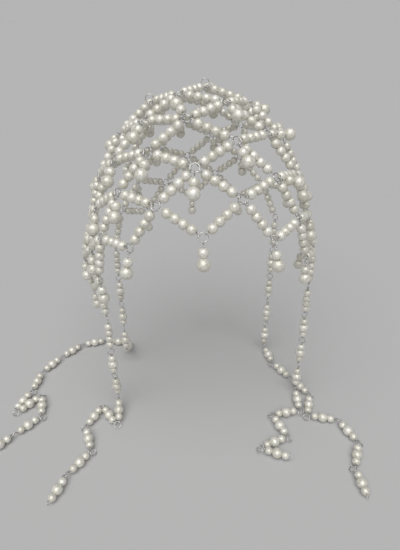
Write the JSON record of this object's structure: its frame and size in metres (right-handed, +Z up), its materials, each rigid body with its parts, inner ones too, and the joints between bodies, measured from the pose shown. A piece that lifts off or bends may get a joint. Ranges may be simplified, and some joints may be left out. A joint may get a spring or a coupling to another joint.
{
  "type": "pearl net bridal headpiece",
  "caption": "Net cap of imitation pearl bars on wire rings, worn over a head, with pearl drops and four pearl strands that hang from its lower corners and lie on the table.",
  "frame": {"origin": "the top of the head, where the cap sits, under the crown of the net", "axes": "+Z is up, the face looks towards -Y, and the wearer's left is +X"},
  "size_m": [0.3206, 0.236, 0.2794],
  "materials": {
    "pearl": "pearlescent ivory",
    "wire": "bright silver"
  },
  "bodies": {
    "root": {"net_row1_star1": "pearl", "net_row1_star2": "pearl", "net_row1_star3": "pearl", "net_row1_star4": "pearl", "net_row1_star5": "pearl", "net_row1_star6": "pearl", "net_row2_star1": "pearl", "net_row2_star2": "pearl", "net_row2_star3": "pearl", "net_row2_star4": "pearl", "net_row2_star5": "pearl", "net_row2_star6": "pearl", "net_row3_star2": "pearl", "net_row3_star3": "pearl", "net_row3_star4": "pearl", "net_row3_star5": "pearl", "net_row4_star3": "pearl", "net_row4_star4": "pearl", "net_row5_star2": "pearl", "net_row5_star3": "pearl", "net_row5_star4": "pearl", "net_row5_star5": "pearl", "net_row6_star3": "pearl", "net_row6_star4": "pearl", "net_row7_star2": "pearl", "net_row7_star3": "pearl", "net_row7_star4": "pearl", "net_row7_star5": "pearl", "strand_left_back_hanging": "pearl", "strand_left_back_lying1": "pearl", "strand_left_back_lying2": "pearl", "strand_left_back_lying3": "pearl", "strand_left_back_lying4": "pearl", "strand_left_back_lying5": "pearl", "strand_left_back_lying6": "pearl", "strand_left_front_hanging": "pearl", "strand_left_front_lying1": "pearl", "strand_left_front_lying2": "pearl", "strand_left_front_lying3": "pearl", "strand_right_back_hanging": "pearl", "strand_right_back_lying1": "pearl", "strand_right_back_lying2": "pearl", "strand_right_back_lying3": "pearl", "strand_right_back_lying4": "pearl", "strand_right_front_hanging": "pearl", "strand_right_front_lying1": "pearl", "strand_right_front_lying2": "pearl", "strand_right_front_lying3": "pearl"}
  },
  "joints": []
}
